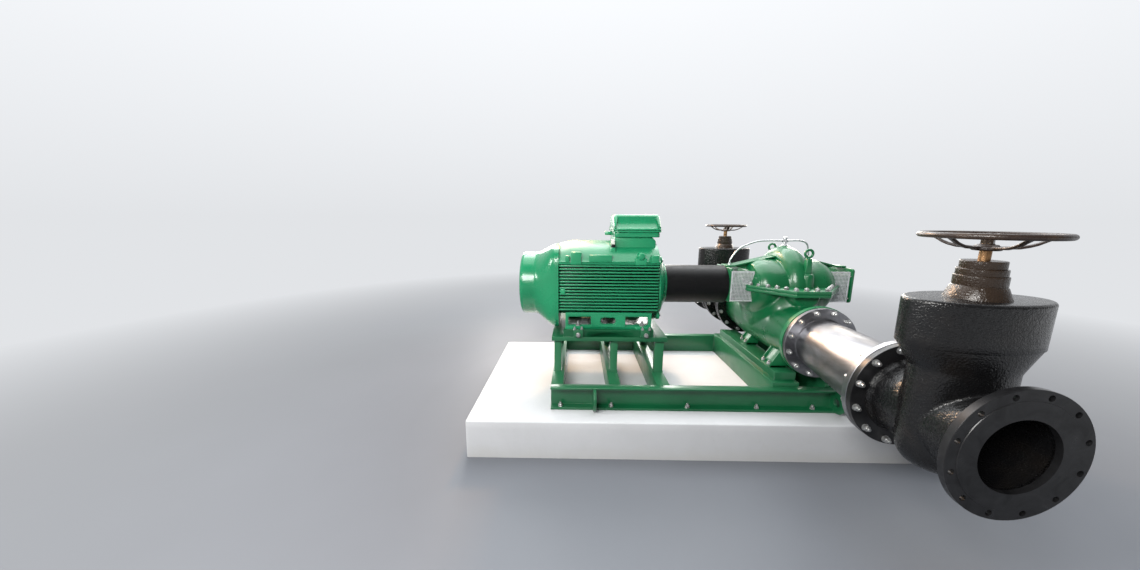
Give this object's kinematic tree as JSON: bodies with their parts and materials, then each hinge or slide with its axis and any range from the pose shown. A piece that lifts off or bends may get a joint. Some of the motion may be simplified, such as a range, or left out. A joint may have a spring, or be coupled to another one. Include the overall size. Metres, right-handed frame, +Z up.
{
  "type": "split-case pump set",
  "caption": "Electric motor and horizontal split-case pump on a green base frame and concrete plinth, with flanged spools and gate valves whose handwheels turn.",
  "frame": {"origin": "centre of the plinth's underside, on the floor", "axes": "+X along the shaft from the motor to the pump, +Y from the front valve to the rear valve, +Z up"},
  "size_m": [3.73, 3.5, 1.777],
  "materials": {
    "concrete": "off-white cast concrete",
    "frame_green": "semi-gloss paint",
    "motor_green": "gloss paint",
    "pump_green": "gloss paint on casting",
    "cast_black": "black coating on rough casting",
    "guard_black": "matt paint",
    "brushed_steel": "brushed along the pipe",
    "zinc": "zinc plate",
    "wheel_brown": "dark brown enamel"
  },
  "bodies": {
    "pump_set": {"pump_casing_lower": "pump_green", "front_valve_body": "cast_black", "rear_valve_body": "cast_black", "pump_casing_upper": "pump_green", "flush_piping": "zinc", "motor_frame": "motor_green", "bearing_bracket_drive": "pump_green", "motor_end_shield": "motor_green", "bearing_bracket_outer": "pump_green", "motor_fan_cowl": "motor_green", "rear_spool": "cast_black", "front_valve_neck": "cast_black", "rear_valve_neck": "cast_black", "front_spool": "brushed_steel", "motor_foot_front": "motor_green", "motor_foot_rear": "motor_green", "base_rail_rear": "frame_green", "base_rail_front": "frame_green", "terminal_box": "motor_green", "lifting_eye_front": "pump_green", "lifting_eye_rear": "pump_green", "front_valve_bonnet": "cast_black", "rear_valve_bonnet": "cast_black", "coupling_guard": "guard_black", "pump_nozzle_ring_rear": "cast_black", "terminal_box_lid": "motor_green", "motor_stand_top": "frame_green", "cable_gland": "cast_black", "guard_sheet_front_drive": "zinc", "front_valve_wedge": "cast_black", "rear_valve_wedge": "cast_black", "guard_sheet_rear_drive": "zinc", "motor_cross_frame_middle": "frame_green", "motor_cross_frame_right": "frame_green", "motor_cross_frame_left": "frame_green", "guard_sheet_front_outer": "zinc", "guard_sheet_rear_outer": "zinc", "concrete_plinth": "concrete", "pump_shaft": "zinc", "pump_bearer_left": "frame_green", "pump_bearer_right": "frame_green", "end_beam_right": "frame_green"},
    "front_wheel": {"front_handwheel": "wheel_brown", "front_valve_stem": "zinc"},
    "rear_wheel": {"rear_handwheel": "wheel_brown", "rear_valve_stem": "zinc"}
  },
  "joints": [
    {"name": "front_wheel_turn", "type": "hinge", "parent": "pump_set", "child": "front_wheel", "pos_m": [0.765, -1.624, 1.68], "axis": [0, 0, 1], "continuous": true},
    {"name": "rear_wheel_turn", "type": "hinge", "parent": "pump_set", "child": "rear_wheel", "pos_m": [0.765, 1.29, 1.659], "axis": [0, 0, 1], "continuous": true}
  ]
}
